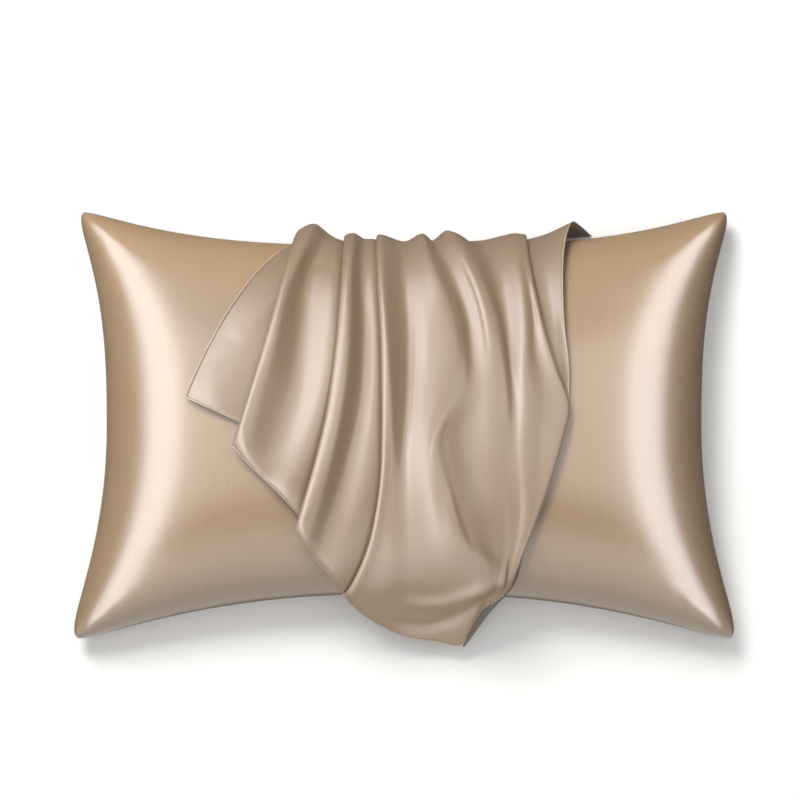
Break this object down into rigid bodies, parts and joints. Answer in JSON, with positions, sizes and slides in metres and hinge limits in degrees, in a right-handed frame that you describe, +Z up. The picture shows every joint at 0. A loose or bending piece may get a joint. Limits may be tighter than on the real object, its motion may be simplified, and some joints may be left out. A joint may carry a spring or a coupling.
{
  "type": "pillowcase draped over a pillow",
  "caption": "Loose satin pillowcase draped in soft folds over a pillow dressed in a matching satin case, lying on its back.",
  "frame": {"origin": "on the floor under the middle of the pillow, in its flat spot", "axes": "+X along the pillow's long sides, +Y to the far long side, +Z up, out of the pillow's face"},
  "size_m": [0.7436, 0.4928, 0.1911],
  "materials": {
    "draped_satin": "champagne satin weave with a silky sheen",
    "pillow_satin": "champagne satin weave with a silky sheen"
  },
  "bodies": {
    "root": {"draped_pillowcase": "draped_satin", "pillow": "pillow_satin"}
  },
  "joints": []
}
